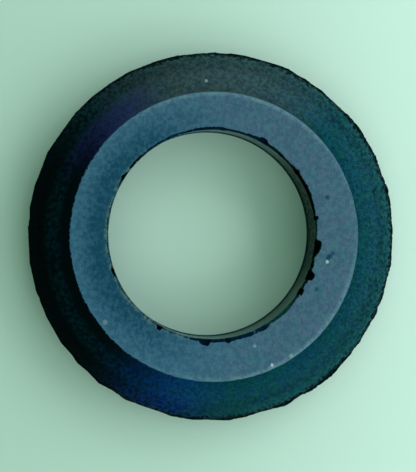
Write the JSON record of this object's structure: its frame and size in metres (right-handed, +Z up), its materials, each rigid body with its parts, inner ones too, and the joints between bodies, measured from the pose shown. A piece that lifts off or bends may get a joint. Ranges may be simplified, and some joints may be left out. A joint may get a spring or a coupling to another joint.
{
  "type": "rubber fairlead",
  "caption": "Moulded rubber fairlead ring: flat faces, rounded bevels to a trimmed parting line, and a plain round hole with a torn upper rim.",
  "frame": {"origin": "centre of the outer form, on the underside that the ring rests on", "axes": "+Z up through the hole, +X towards the most torn side of the hole's upper rim"},
  "size_m": [0.032, 0.0321, 0.0046],
  "materials": {
    "black_rubber": "matt black moulded rubber with a chalky blue-grey bloom on its flat face"
  },
  "bodies": {
    "root": {"fairlead_ring": "black_rubber"}
  },
  "joints": []
}
